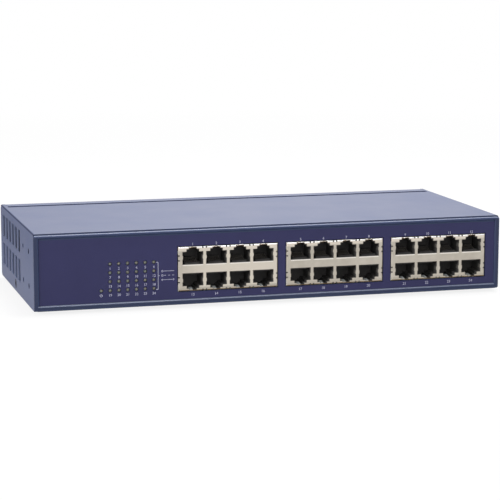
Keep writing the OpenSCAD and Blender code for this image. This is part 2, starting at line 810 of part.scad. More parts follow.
// Quartz crystal in its can
module clock_crystal() color([0.75, 0.75, 0.76]) raised()
    on_board(between[1] - crystal_left, hole_front + crystal_back) {
        slug(crystal_size[0] + 2 * crystal_rim, crystal_size[1] + 2 * crystal_rim, crystal_rim);
        slug(crystal_size[0], crystal_size[1], crystal_size[2]);
    }

// Two step-down regulators with their chokes
module regulator_parts() color([0.2, 0.2, 0.22]) raised() for (i = [0, 1])
    on_board(step_x + regulator_in + i * regulator_step, hole_rear) {
        translate([0, -regulator_ahead, 0]) leaded(regulator_size, 3, 2.3, [0]);
        translate([0, -coil_ahead, 0]) intersection() {
            block(coil_size[0], coil_size[1], coil_size[2]);
            cylinder(d = coil_d, h = coil_size[2]);
        }
    }

// Small chips: lamp drivers behind the lamps, memory, and the power supply's optocoupler
module small_chips() color([0.13, 0.13, 0.14]) raised() {
    for (i = [0, 1]) on_board(lamp_x + i * driver_step, board_y + strip_d - driver_ahead)
        leaded(driver_size, 8, 1.2, [0, 180]);
    on_board(board_x1 - memory_in, hole_front + memory_back) leaded(memory_size, 4, 1.2, [0, 180]);
    on_power(coupler_at[0], coupler_at[1]) leaded(coupler_size, 2, 2.54, [0, 180]);
}

// Can of an aluminium capacitor, with its bead and vented top
module can(size) rotate_extrude() polygon([[0, 0], [size[0] / 2 - 0.3, 0], [size[0] / 2, 0.5],
    [size[0] / 2, 1.6], [size[0] / 2 - 0.4, 2], [size[0] / 2, 2.4], [size[0] / 2, size[1] - 0.4],
    [size[0] / 2 - 0.4, size[1]], [size[0] / 2 - 0.9, size[1] - 0.3], [0, size[1] - 0.3]]);

// Aluminium capacitors: four on the main board, two outputs and the bulk one on the power board
module electrolytic_capacitors() color([0.2, 0.25, 0.45]) raised() {
    for (i = [0:3]) on_board(step_x + small_can_in + i * small_can_step, hole_rear - small_can_ahead)
        can(small_can);
    for (i = [0, 1]) on_power(output_at[0] + i * output_step, output_at[1]) can(output_can);
    on_power(bulk_at[0], bulk_at[1]) can(bulk_can);
}

// Block that holds the lamps behind the front panel
module led_holder() color([0.12, 0.12, 0.12]) raised() along_y(holder_y, holder_back - holder_y)
    difference() {
        translate([lamp_x - lamp_pitch_x - holder_wall, board_top])
            square([lamp_cols * lamp_pitch_x + 2 * holder_wall,
                    lamp_z + (lamp_rows - 1) * lamp_pitch_z + holder_wall - board_top]);
        lamp_holes(lamp_d + 2 * lamp_gap);
    }

// Lamps, each with two leads bent down to the board
module led_lamps() color([0.5, 0.5, 0.42]) raised() for (p = lamp_places)
    translate([p[0], 0, p[1]]) {
        back = holder_back + 1 + p[2] * lead_row;
        translate([0, film_y + lamp_d / 2, 0]) {
            sphere(d = lamp_d);
            rotate([-90, 0, 0]) cylinder(d = lamp_d, h = holder_back - film_y - lamp_d / 2);
        }
        for (s = [-1, 1]) translate([s * lead_x, 0, 0]) {
            span([-lead_t / 2, holder_back - 1, -lead_t / 2], [lead_t / 2, back, lead_t / 2]);
            span([-lead_t / 2, back - lead_t, board_top - p[1]], [lead_t / 2, back, lead_t / 2]);
        }
    }

// Mains inlet, its mouth flush with the rear wall and its flange behind it
module mains_inlet() color([0.08, 0.08, 0.08]) raised() difference() {
    union() {
        along_y(rear_y - inlet_d, inlet_d) socket(inlet_w, inlet_h);
        along_y(rear_y - sheet_t - flange_t, flange_t) translate([inlet_x, inlet_z])
            round_rect(-inlet_screws / 2 - flange_over[0], -inlet_h / 2 - flange_over[1],
                       inlet_screws / 2 + flange_over[0], inlet_h / 2 + flange_over[1], 3);
    }
    along_y(rear_y - socket_d, socket_d + 1) socket(socket_w, socket_h);
    for (p = [[-blade_x, -blade_z], [0, blade_z], [blade_x, -blade_z]])
        translate([inlet_x + p[0], 0, inlet_z + p[1]])
            span([-blade_w / 2 - 0.05, rear_y - inlet_d - 1, -blade_h / 2 - 0.05],
                 [blade_w / 2 + 0.05, rear_y - socket_d + 1, blade_h / 2 + 0.05]);
    at_screws() countersunk(screw_gap);
}

// Three blades of the inlet, with pins down to the power board
module inlet_blades() color([0.8, 0.78, 0.7]) raised()
    for (p = [[-blade_x, -blade_z], [0, blade_z], [blade_x, -blade_z]])
        translate([inlet_x + p[0], 0, inlet_z + p[1]]) {
            span([-blade_w / 2, rear_y - inlet_d - 2, -blade_h / 2],
                 [blade_w / 2, rear_y - socket_d + blade_l, blade_h / 2]);
            span([-blade_w / 2, rear_y - inlet_d - 2, board_top - inlet_z - p[1]],
                 [blade_w / 2, rear_y - inlet_d - 1, 0]);
        }

// Transformer of the power supply: a core round a wound bobbin
module power_transformer() color([0.35, 0.3, 0.25]) raised()
    on_power(transformer_at[0], transformer_at[1]) {
        block(bobbin_size[0], bobbin_size[1], bobbin_size[2]);
        translate([0, 0, bobbin_size[2]]) {
            for (z = [0, core_size[2] - core_t]) translate([0, 0, z])
                block(core_size[0], core_size[1], core_t);
            for (s = [-1, 1]) translate([s * (core_size[0] - core_t) / 2, 0, 0])
                block(core_t, core_size[1], core_size[2]);
            cylinder(d = core_d, h = core_size[2]);
            translate([0, 0, core_t + 0.5]) cylinder(d = winding_d, h = core_size[2] - 2 * core_t - 1);
        }
    }

// Ring core choke in the mains line, on a foot, with two windings
module line_filter_choke() color([0.6, 0.35, 0.2]) raised() on_power(choke_at[0], choke_at[1]) {
    rotate_extrude() translate([choke_d / 2 - choke_t, 1]) square([choke_t, choke_h]);
    for (a = [30, 210]) rotate(a) rotate_extrude(angle = 120)
        translate([choke_d / 2 - choke_t - choke_wire, 1 - choke_wire])
            square([choke_t + 2 * choke_wire, choke_h + 2 * choke_wire]);
    block(choke_d, choke_t, 1);
}

// Interference suppression capacitor
module filter_capacitor() color([0.75, 0.7, 0.25]) raised() on_power(filter_at[0], filter_at[1])
    block(filter_size[0], filter_size[1], filter_size[2]);

// Glass fuse in its two clips
module fuse() color([0.75, 0.76, 0.78]) raised() on_power(fuse_at[0], fuse_at[1]) {
    translate([-fuse_l / 2, 0, fuse_z]) rotate([0, 90, 0]) cylinder(d = fuse_d, h = fuse_l);
    for (s = [-1, 1]) translate([s * clip_x, 0, 0]) {
        translate([-clip_w / 2, 0, fuse_z]) rotate([0, 90, 0])
            cylinder(d = fuse_d + 2 * clip_t, h = clip_w);
        block(clip_w, fuse_d + 2 * clip_t, 1);
        for (t = [-1, 1]) translate([0, t * (fuse_d + clip_t) / 2, 0])
            block(clip_w, clip_t, fuse_z + 1);
    }
}

// Two plates that cool the power semiconductors
module power_heatsinks() color([0.68, 0.69, 0.7]) raised() {
    on_power(plate_at[0], plate_at[1]) {
        block(plate_size[0], plate_size[1], plate_size[2]);
        for (i = [0:plate_ribs - 1]) translate([-(plate_size[0] + plate_rib[0]) / 2,
            (i / (plate_ribs - 1) - 0.5) * (plate_size[1] - plate_rib[1]), 0])
            block(plate_rib[0], plate_rib[1], plate_size[2]);
    }
    on_power(rear_plate_at[0], rear_plate_at[1])
        block(rear_plate_size[0], rear_plate_size[1], rear_plate_size[2]);
}

// Transistor body with three legs, its back at y = 0
module transistor() translate([0, -tab_size[1] / 2, 0]) {
    translate([0, 0, tab_z]) block(tab_size[0], tab_size[1], tab_size[2]);
    for (i = [-1:1]) translate([i * tab_pitch, 0, 0]) block(0.8, 0.6, tab_z + eps);
}

// Switching transistor, output diode and bridge rectifier
module power_semiconductors() color([0.12, 0.12, 0.12]) raised() {
    on_power(plate_at[0] + plate_size[0] / 2, plate_at[1]) rotate(90) transistor();
    on_power(rear_plate_at[0], rear_plate_at[1] - rear_plate_size[1] / 2) transistor();
    on_power(bridge_at[0], bridge_at[1]) leaded(bridge_size, 2, 5, [0, 180]);
}

// Connector bodies at the two ends of the low voltage lead
module dc_connectors() color([0.9, 0.9, 0.85]) raised() for (x = link_x)
    on_board(x, link_y) difference() {
        block(link_w, link_wires * link_pitch + 2 * link_wall, link_h);
        for (i = [0:link_wires - 1])
            translate([0, (i - (link_wires - 1) / 2) * link_pitch, link_h - lead_in])
                cylinder(d = lead_d, h = lead_in + 1);
    }

// Four wires that bridge the two boards
module dc_cable() color([0.75, 0.15, 0.12]) raised() for (i = [0:link_wires - 1])
    translate([link_x[0], link_y + (i - (link_wires - 1) / 2) * link_pitch, board_top + link_h]) {
        r = (link_x[1] - link_x[0]) / 2;
        for (x = [0, 2 * r]) translate([x, 0, -lead_in]) cylinder(d = lead_d, h = lead_in + lead_rise);
        translate([r, 0, lead_rise]) rotate([90, 0, 0]) rotate_extrude(angle = 180)
            translate([r, 0]) circle(d = lead_d);
    }

base_tray();
top_cover();
front_overlay();
rubber_feet();
countersunk_screws();
for (b = [0:blocks - 1]) {
    jack_shield(b);
    jack_housing(b);
}
for (n = [1:ports]) contacts(n);
contact_carriers();
jack_terminals();
main_board();
board_standoffs();
board_screws();
switch_chip();
chip_heatsink();
line_transformers();
clock_crystal();
regulator_parts();
small_chips();
electrolytic_capacitors();
led_holder();
led_lamps();
power_board();
mains_inlet();
inlet_blades();
power_transformer();
line_filter_choke();
filter_capacitor();
fuse();
power_heatsinks();
power_semiconductors();
dc_cable();
dc_connectors();
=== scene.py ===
import json
import math

import bpy
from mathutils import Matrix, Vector


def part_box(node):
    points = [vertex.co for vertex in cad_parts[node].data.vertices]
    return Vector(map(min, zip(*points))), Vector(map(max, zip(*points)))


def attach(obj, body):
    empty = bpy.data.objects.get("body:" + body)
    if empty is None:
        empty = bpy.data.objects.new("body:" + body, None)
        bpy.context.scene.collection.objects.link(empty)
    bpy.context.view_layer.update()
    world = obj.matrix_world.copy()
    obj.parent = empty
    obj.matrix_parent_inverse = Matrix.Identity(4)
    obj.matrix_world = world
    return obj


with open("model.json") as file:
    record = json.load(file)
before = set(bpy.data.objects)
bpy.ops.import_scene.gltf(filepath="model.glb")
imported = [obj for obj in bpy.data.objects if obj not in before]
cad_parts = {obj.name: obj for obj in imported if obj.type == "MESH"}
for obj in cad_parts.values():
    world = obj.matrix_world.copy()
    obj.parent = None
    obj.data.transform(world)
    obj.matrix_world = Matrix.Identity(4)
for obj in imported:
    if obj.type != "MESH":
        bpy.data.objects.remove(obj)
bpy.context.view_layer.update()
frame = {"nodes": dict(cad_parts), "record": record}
nodes = frame["nodes"]
print("stage: frame loaded with", len(nodes), "nodes")


# Shader maths: a socket that can stand in an expression
class Value:
    def __init__(self, sheet, socket):
        self.sheet = sheet
        self.socket = socket

    def __add__(self, other):
        return self.sheet.maths("ADD", self, other)

    __radd__ = __add__

    def __sub__(self, other):
        return self.sheet.maths("SUBTRACT", self, other)

    def __rsub__(self, other):
        return self.sheet.maths("SUBTRACT", other, self)

    def __mul__(self, other):
        return self.sheet.maths("MULTIPLY", self, other)

    __rmul__ = __mul__

    def __truediv__(self, other):
        return self.sheet.maths("DIVIDE", self, other)

    def above(self, level):
        return self.sheet.maths("GREATER_THAN", self, level)

    def below(self, level):
        return self.sheet.maths("LESS_THAN", self, level)

    def size(self):
        return self.sheet.maths("ABSOLUTE", self)

    def greater(self, other):
        return self.sheet.maths("MAXIMUM", self, other)

    def repeat(self, step):
        return self.sheet.maths("PINGPONG", self, step / 2)

    def spread(self, low, high):
        return self.sheet.add(
            "ShaderNodeMapRange", {"clamp": True},
            {"Value": self, "From Min": low, "From Max": high})


# A node tree being drawn, for a material or for the sky
class Sheet:
    def __init__(self, tree):
        self.tree = tree
        self.tree.nodes.clear()
        self.place = self.add("ShaderNodeTexCoord", output="Object")

    def add(self, kind, settings=None, inputs=None, output=0):
        node = self.tree.nodes.new(kind)
        for name, setting in (settings or {}).items():
            if name == "stops":
                ramp = node.color_ramp
                while len(ramp.elements) < len(setting):
                    ramp.elements.new(0.5)
                for stop, (position, colour) in zip(ramp.elements, setting):
                    stop.position = position
                    stop.color = colour
            else:
                setattr(node, name, setting)
        for name, value in (inputs or {}).items():
            self.feed(node.inputs[name], value)
        return Value(self, node.outputs[output]) if node.outputs else None

    def feed(self, socket, value):
        if isinstance(value, Value):
            self.tree.links.new(value.socket, socket)
        else:
            socket.default_value = value

    def maths(self, operation, *values):
        return self.add("ShaderNodeMath", {"operation": operation}, dict(enumerate(values)))

    def mix(self, factor, first, second):
        return self.add(
            "ShaderNodeMix", {"data_type": "RGBA"}, {0: factor, 6: first, 7: second}, output=2)

    def layered(self, colour, layers):  # each layer is a mask and the colour it shows
        for mask, code in layers:
            colour = self.mix(mask, colour, tint(code))
        return colour

    def noise(self, grainSize, detail=2.0, stretch=(1, 1, 1), roughness=0.55):
        place = self.place
        if stretch != (1, 1, 1):
            place = self.add("ShaderNodeMapping", {}, {"Vector": place, "Scale": stretch})
        return self.add(
            "ShaderNodeTexNoise", {},
            {"Vector": place, "Scale": 1 / grainSize, "Detail": detail, "Roughness": roughness})

    def split(self, vector):
        node = self.add("ShaderNodeSeparateXYZ", {}, {"Vector": vector}).socket.node
        return [Value(self, socket) for socket in node.outputs]

    def parts(self):
        return self.split(self.place)

    def facing(self):
        return self.split(self.add("ShaderNodeNewGeometry", output="Normal"))


# A material: its Principled shader and its output
class Finish(Sheet):
    def __init__(self, name, fixed=None):
        self.material = bpy.data.materials.new(name)
        self.material.use_nodes = True
        super().__init__(self.material.node_tree)
        shader = self.add("ShaderNodeBsdfPrincipled", {}, fixed or {})
        self.shader = shader.socket.node
        self.show(shader)

    def show(self, shader):  # the last call is what the surface shows
        for output in [n for n in self.tree.nodes if n.type == "OUTPUT_MATERIAL"]:
            self.tree.nodes.remove(output)
        self.add("ShaderNodeOutputMaterial", {}, {"Surface": shader})

    def finish(self, colour, roughness, height, depth):
        self.feed(self.shader.inputs["Base Color"], colour)
        self.feed(self.shader.inputs["Roughness"], roughness)
        bump = self.add(
            "ShaderNodeBump", {}, {"Height": height, "Distance": depth, "Strength": 1.0})
        self.feed(self.shader.inputs["Normal"], bump)
        return self.material


def tint(code, alpha=1.0):  # a colour as it looks on a screen, made linear
    parts = [int(code[i:i + 2], 16) / 255 for i in (1, 3, 5)]
    linear = [p / 12.92 if p <= 0.04045 else ((p + 0.055) / 1.055) ** 2.4 for p in parts]
    return (*linear, alpha)


# Every finish: two near colours that drift over the cloud size, a grain that
# roughens and raises the surface, and what stays the same on the shader
finishes = {
    "blue_paint": dict(
        dark="#303e6a", light="#35446f", cloud=0.035, grain=0.00045, depth=0.000006,
        rough=(0.33, 0.43), fixed={"Specular IOR Level": 0.46}),
    "printed_film": dict(
        dark="#30305b", light="#353562", cloud=0.02, grain=0.00022, depth=0.000003,
        rough=(0.46, 0.56), fixed={"Specular IOR Level": 0.4}),
    "rubber": dict(
        dark="#1b1b1c", light="#242425", cloud=0.004, grain=0.0003, depth=0.00001,
        rough=(0.72, 0.88), fixed={}),
    "black_screws": dict(
        dark="#121624", light="#1c2236", cloud=0.002, grain=0.00015, depth=0.000004,
        rough=(0.5, 0.64), fixed={"Metallic": 0.4, "Specular IOR Level": 0.3}),
    "plated_shield": dict(
        dark="#c7bfb1", light="#d7cfc2", cloud=0.006, grain=0.0003, depth=0.0000035,
        rough=(0.30, 0.44), stretch=(0.12, 1, 1), fixed={}),
    "black_plastic": dict(
        dark="#3a3938", light="#444240", cloud=0.005, grain=0.0002, depth=0.000006,
        rough=(0.46, 0.6), fixed={"Specular IOR Level": 0.3}),
    "contact_metal": dict(
        dark="#979089", light="#b4ada5", cloud=0.001, grain=0.00008, depth=0.000001,
        rough=(0.3, 0.42), fixed={"Metallic": 0.5}),
    "zinc_steel": dict(
        dark="#a8acb2", light="#c3c7cc", cloud=0.002, grain=0.0001, depth=0.000003,
        rough=(0.26, 0.42), fixed={"Metallic": 1.0}),
    "bare_aluminium": dict(
        dark="#b3b5b8", light="#c9cbce", cloud=0.004, grain=0.00018, depth=0.000004,
        rough=(0.3, 0.46), stretch=(1, 0.08, 1), fixed={"Metallic": 1.0}),
    "dark_ferrite": dict(
        dark="#2e2d2e", light="#3c3a3a", cloud=0.003, grain=0.0003, depth=0.00002,
        rough=(0.6, 0.8), fixed={}),
    "sleeved_can": dict(
        dark="#1a2140", light="#212a4d", cloud=0.003, grain=0.0004, depth=0.000004,
        rough=(0.2, 0.32), fixed={"Coat Weight": 0.3}),
    "clear_epoxy": dict(
        dark="#86867d", light="#94948b", cloud=0.0012, grain=0.0002, depth=0.000004,
        rough=(0.4, 0.55), fixed={"Subsurface Weight": 0.2, "Subsurface Scale": 0.001}),
    "blade_metal": dict(
        dark="#bdb9ae", light="#d2cfc6", cloud=0.002, grain=0.0001, depth=0.000002,
        rough=(0.2, 0.34), stretch=(1, 0.15, 1), fixed={"Metallic": 1.0}),
    "yellow_plastic": dict(
        dark="#c4a427", light="#d2b232", cloud=0.004, grain=0.0003, depth=0.000008,
        rough=(0.4, 0.52), fixed={}),
    "fuse_glass": dict(
        dark="#dfe5e4", light="#eef2f1", cloud=0.003, grain=0.0004, depth=0.000001,
        rough=(0.04, 0.1), fixed={"Transmission Weight": 0.85, "IOR": 1.5}),
    "wire_cover": dict(
        dark="#8e1f18", light="#a3271d", cloud=0.003, grain=0.0002, depth=0.000004,
        rough=(0.36, 0.5), fixed={}),
    "white_plastic": dict(
        dark="#d9d7cf", light="#e4e2da", cloud=0.004, grain=0.0003, depth=0.000005,
        rough=(0.42, 0.54), fixed={}),
}


# How strongly the clouds and the grain show in a finish's colour and roughness
mottle = dict(
    detail=3.0, cloudLow=0.32, cloudHigh=0.68, cloudTint=0.7, grainTint=0.3, cloudRough=0.4,
    grainRough=0.6)

# Paint is matt on the cover's bends and painted dark there, as a stand-in for a dark reflection.
# A painted highlight runs along the front ledges, painted shade darkens the front and the right
# slope of its recess, and painted light brightens its other slopes. The cut edges of the side
# slots are paler, partly bare metal and partly painted light, and painted shade darkens the
# tray's walls behind the cover and in the round holes
paintLook = dict(
    edgeOn=0.3, squareOn=0.7,
    bend="#1d2644", bendLow=0.4, bendHigh=0.92, bendMatt=0.4,
    front="#2d3859", frontFacing=-0.95,
    ledgeHighlight="#6d768f", ledgeFront=-0.2, ledgeLow=0.6, ledgeHigh=0.98,
    slope="#4a5980", rightSlopeShade="#2a355a",
    cut="#7f89a8", skirtLow=0.006, skirtHigh=0.044, slotFront=-0.02, slotRear=0.06,
    innerShade="#1b2542", wallInside=0.1375, wallOutside=0.13915, holesRear=-0.03, wallFront=-0.06)


def paintLayers(sheet, bend):
    look = paintLook
    x, y, z = sheet.parts()
    across, along, upward = sheet.facing()
    turned = across.size()
    forward = along.below(look["ledgeFront"])
    ledgeHighlight = forward * upward.above(look["ledgeLow"]) * upward.below(look["ledgeHigh"])
    slope = across.above(look["edgeOn"]).greater(upward.below(-look["edgeOn"])) * forward
    skirt = z.above(look["skirtLow"]) * z.below(look["skirtHigh"])
    skirt = skirt * x.size().above(look["wallInside"])
    slots = y.above(look["slotFront"]) * y.below(look["slotRear"])
    wall = x.size().below(look["wallOutside"]) * turned.above(look["squareOn"])
    hole = y.below(look["holesRear"]) * turned.below(look["edgeOn"])
    return [
        # painted shade on the bends, a stand-in for a dark reflection
        (bend, look["bend"]),
        # painted shade darkening the faces that look to the front
        (along.below(look["frontFacing"]), look["front"]),
        # painted highlight on the front ledges that face up
        (ledgeHighlight, look["ledgeHighlight"]),
        # painted light on the recess slopes that face right and on those that face down
        (slope, look["slope"]),
        # painted shade on the recess slopes that face left
        (across.below(-look["edgeOn"]) * forward, look["rightSlopeShade"]),
        # paler cut edges of the side slots: partly bare metal, partly painted light
        (skirt * slots * turned.below(look["edgeOn"]), look["cut"]),
        # painted shade on the tray's walls behind the side openings and in the round holes
        (skirt * wall.greater(hole) * y.above(look["wallFront"]), look["innerShade"])]


# Mask of the cover's bends, where painted shade stands in for a dark reflection and the paint is
# matt
def onBend(sheet):
    across, along, upward = sheet.facing()
    low, high = paintLook["bendLow"], paintLook["bendHigh"]
    return across.size().above(low) * upward.above(low) * upward.below(high)


# The film's colour stops short of its top edge
filmMargin = dict(width=0.0006, colour="#33405f")


def filmLayers(sheet):
    x, y, z = sheet.parts()
    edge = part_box("front_overlay")[1].z - filmMargin["width"]
    return [(z.above(edge), filmMargin["colour"])]


# The jacks' plastic is painted greyer and lighter than that of the hidden parts, as painted
# light inside the ports
jackPlastic = dict(back=-0.035, dark="#4a4948", light="#545251")


def jackPlasticColour(sheet, colour, clouds):
    x, y, z = sheet.parts()
    grey = sheet.mix(clouds, tint(jackPlastic["dark"]), tint(jackPlastic["light"]))
    # painted light: a lighter copy of the same plastic at the front of the jacks
    return sheet.mix(y.below(jackPlastic["back"]), colour, grey)


# Shields, with painted light and shade: a lighter painted sheen over most of the left block,
# a brow of painted light under a painted highlight on the bend at the top, whose topmost part
# is painted darker, painted shade on the foot and, warm, on the edges that look down, matt
# leaves inside the ports lit with painted light and darkened at their sides and tops with
# painted shade, a painted highlight on the rolled sill under the upper row and a brown strip
# of painted shade over its latch ways
portPitch = 0.01397
blockColumns = 4
blockCentres = (-0.0275, 0.037, 0.1015)
shieldLook = dict(
    sheen="#e6ddce", sheenFrom=-0.055, sheenTo=-0.041, sheenEnd=0.005,
    brow="#ebe1d2", browLow=0.0326, browHigh=0.0334,
    foot="#c5bdaf", footLow=0.0113, footHigh=0.0121,
    crownHighlight="#ffffff", crownLow=0.2, crownHigh=0.75, edge="#8f877a",
    under="#a5845a", underFacing=-0.35,
    leaf="#e2e8e8", leafMatt=0.8, leafFront=-0.0619, leafBack=-0.0581,
    shade="#3a332c", shadeLow=0.033, side="#6f6c66", sideLow=0.0135, sideHigh=0.0315,
    sill="#fffaf0", sillLow=0.02435, sillHigh=0.025, sillHalf=0.006,
    strip="#7d6a55", stripLow=0.0339, stripHalf=0.0024, stripFront=-0.0621)


def nearPorts(x, half):  # within half of the middle of a port
    near = [(x - centre).repeat(portPitch).above(portPitch / 2 - half)
            * (x - centre).size().below(portPitch * blockColumns / 2) for centre in blockCentres]
    return near[0].greater(near[1]).greater(near[2])


def onLeaf(sheet):
    x, y, z = sheet.parts()
    return y.above(shieldLook["leafFront"]) * y.below(shieldLook["leafBack"])


def shieldLayers(sheet, leaf):
    look = shieldLook
    x, y, z = sheet.parts()
    across, along, upward = sheet.facing()
    sheen = x.spread(look["sheenFrom"], look["sheenTo"]) * x.below(look["sheenEnd"])
    side = leaf * z.above(look["sideLow"]) * z.below(look["sideHigh"])
    sill = z.above(look["sillLow"]) * z.below(look["sillHigh"])
    strip = z.above(look["stripLow"]) * y.below(look["stripFront"])
    return [
        # painted sheen, lighter over most of the left block
        (sheen, look["sheen"]),
        # painted light in a brow under the bend at the top
        (z.spread(look["browLow"], look["browHigh"]), look["brow"]),
        # painted shade towards the foot
        (z.spread(look["footHigh"], look["footLow"]), look["foot"]),
        # painted highlight on the bend at the top
        (upward.above(look["crownLow"]), look["crownHighlight"]),
        # the topmost part of that bend painted darker
        (upward.above(look["crownHigh"]), look["edge"]),
        # painted shade, warm, on the edges that look down
        (upward.below(look["underFacing"]), look["under"]),
        # painted light on the matt leaves inside the ports
        (leaf, look["leaf"]),
        # painted shade at the leaves' tops
        (leaf * z.above(look["shadeLow"]), look["shade"]),
        # painted shade at the leaves' sides
        (side, look["side"]),
        # painted highlight on the rolled sill under the upper row
        (sill * nearPorts(x, look["sillHalf"]), look["sill"]),
        # brown painted shade over the latch ways of the upper row
        (strip * nearPorts(x, look["stripHalf"]), look["strip"])]


def plainFinish(slot):
    look = finishes[slot]
    sheet = Finish(slot, look["fixed"])
    clouds = sheet.noise(look["cloud"], mottle["detail"])
    clouds = clouds.spread(mottle["cloudLow"], mottle["cloudHigh"])
    grain = sheet.noise(look["grain"], stretch=look.get("stretch", (1, 1, 1)))
    shift = clouds * mottle["cloudTint"] + grain * mottle["grainTint"]
    colour = sheet.mix(shift, tint(look["dark"]), tint(look["light"]))
    low, high = look["rough"]
    uneven = grain * mottle["grainRough"] + clouds * mottle["cloudRough"]
    roughness = uneven * (high - low) + low
    if slot == "blue_paint":
        bend = onBend(sheet)
        colour = sheet.layered(colour, paintLayers(sheet, bend))
        roughness = roughness + bend * paintLook["bendMatt"]
    if slot == "printed_film":
        colour = sheet.layered(colour, filmLayers(sheet))
    if slot == "black_plastic":
        colour = jackPlasticColour(sheet, colour, clouds)
    if slot == "plated_shield":
        leaf = onLeaf(sheet)
        colour = sheet.layered(colour, shieldLayers(sheet, leaf))
        sheet.feed(sheet.shader.inputs["Metallic"], 1 - leaf * shieldLook["leafMatt"])
    return sheet.finish(colour, roughness, grain, look["depth"])


# Circuit boards: solder mask over a net of tracks, with round pads on a grid
boards = {
    "green_board": dict(
        mask="#0f4a2a", track="#1c6b3c", pad="#b7b39a", pitch=0.00254, tracks=0.0011),
    "brown_board": dict(
        mask="#7a5a2c", track="#8d6b38", pad="#b7b39a", pitch=0.005, tracks=0.0024),
}
boardPrint = dict(
    cloud=0.012, patch=0.009, weave=0.0004, turn=0.5, wander=3, trackShare=0.3,
    padRadius=0.17, padShare=0.53, padMetal=0.9, coat=0.25, rough=0.32, weaveRough=0.15,
    trackHeight=0.6, weaveHeight=0.1, depth=0.00003)


def boardFinish(slot):
    look = boards[slot]
    pitch, tracks = look["pitch"], look["tracks"]
    sheet = Finish(slot, {"Coat Weight": boardPrint["coat"]})
    x, y, z = sheet.parts()
    clouds = sheet.noise(boardPrint["cloud"])
    wander = pitch * boardPrint["wander"]
    across = (x + clouds * wander).repeat(tracks) / tracks
    along = (y + clouds * wander).repeat(tracks) / tracks
    turn = clouds.above(boardPrint["turn"])
    track = (across * turn + along * (1 - turn)).above(boardPrint["trackShare"])
    gridX = x.repeat(pitch)
    gridY = y.repeat(pitch)
    spot = (gridX * gridX + gridY * gridY).below((pitch * boardPrint["padRadius"]) ** 2)
    pad = spot * sheet.noise(boardPrint["patch"], detail=1.0).above(boardPrint["padShare"])
    body = sheet.mix(track, tint(look["mask"]), tint(look["track"]))
    colour = sheet.mix(pad, body, tint(look["pad"]))
    sheet.feed(sheet.shader.inputs["Metallic"], pad * boardPrint["padMetal"])
    weave = sheet.noise(boardPrint["weave"], detail=1.0)
    roughness = weave * boardPrint["weaveRough"] + boardPrint["rough"]
    height = track * boardPrint["trackHeight"] + pad + weave * boardPrint["weaveHeight"]
    return sheet.finish(colour, roughness, height, boardPrint["depth"])


# Copper wire wound close on a ring
winding = dict(
    wire="#a4551e", gap="#4a2a15", pitch=0.0009, slant=(0.8, 0.6, 0.35),
    coat=0.5, rough=0.42, polish=0.14, depth=0.0002)


def windingFinish(slot):
    sheet = Finish(slot, {"Coat Weight": winding["coat"]})
    x, y, z = sheet.parts()
    a, b, c = winding["slant"]
    turn = (x * a + y * b + z * c).repeat(winding["pitch"]) / (winding["pitch"] / 2)
    rounded = turn * (2 - turn)
    colour = sheet.mix(rounded, tint(winding["gap"]), tint(winding["wire"]))
    roughness = winding["rough"] - rounded * winding["polish"]
    return sheet.finish(colour, roughness, rounded, winding["depth"])


print("stage: making the finishes")
materials = {slot: plainFinish(slot) for slot in finishes}
materials.update({slot: boardFinish(slot) for slot in boards})
materials["copper_winding"] = windingFinish("copper_winding")
slotOf = {part["node"]: part["material_slot"] for part in frame["record"]["subparts"]}


def dress(piece, slot):
    piece.data.materials.clear()
    piece.data.materials.append(materials[slot])


for name, piece in nodes.items():
    dress(piece, slotOf[name])


# Printing on the front film: port and lamp numbers, the bracket beside the lamps,
# the power sign under its lamp and three small signs for what the lamps show
ink = dict(
    dark="#c0c0d8", light="#cdcde4", cloud=0.0009, cloudLow=0.3, cloudHigh=0.7,
    grain=0.00008, rough=(0.5, 0.62), depth=0.000002)
printing = dict(
    thick=0.00002, bold=0.012, solid=0.5, curveSteps=4, ports=24, portColumns=12,
    upperHeight=0.0015, lowerHeight=0.00155, upperZ=0.0368, lowerZ=0.0075,
    lampColumns=6, lampHeight=0.00145, lampX=-0.0966, lampZ=0.02734, lampStep=0.00508,
    lampDrop=0.00265)
bracket = dict(
    x=-0.06875, top=0.0272, bottom=0.0114, arm=0.00125, bend=0.0004, steps=4, tick=0.0008,
    line=0.00036)
powerSign = dict(
    x=-0.1018, z=0.0094, radius=0.0007, gap=35, steps=24, bar=0.0009, line=0.0003)
lampSigns = dict(
    x=-0.0668, end=-0.0594, z=(0.0219, 0.0194, 0.0169), radius=0.00048, steps=16, start=3,
    dashes=3, wing=1.2, line=0.0003)
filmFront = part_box("front_overlay")[0].y


def inkFinish():
    sheet = Finish("screen_ink", {"Specular IOR Level": 0.3})
    clouds = sheet.noise(ink["cloud"]).spread(ink["cloudLow"], ink["cloudHigh"])
    grain = sheet.noise(ink["grain"], detail=1.0)
    colour = sheet.mix(clouds, tint(ink["dark"]), tint(ink["light"]))
    low, high = ink["rough"]
    return sheet.finish(colour, grain * (high - low) + low, grain, ink["depth"])


materials["screen_ink"] = inkFinish()


def clearSelection():
    bpy.ops.object.select_all(action="DESELECT")


def portX(number):
    block, column = divmod((number - 1) % printing["portColumns"], blockColumns)
    return blockCentres[block] + (column - (blockColumns - 1) / 2) * portPitch


def applyPlace(piece):
    clearSelection()
    piece.select_set(True)
    bpy.context.view_layer.objects.active = piece
    bpy.ops.object.transform_apply(location=True, rotation=True, scale=True)


def joined(pieces, name):
    clearSelection()
    for piece in pieces:
        piece.select_set(True)
    bpy.context.view_layer.objects.active = pieces[0]
    if len(pieces) > 1:
        bpy.ops.object.join()
    whole = bpy.context.view_layer.objects.active
    whole.name = name
    whole.data.name = name
    return whole


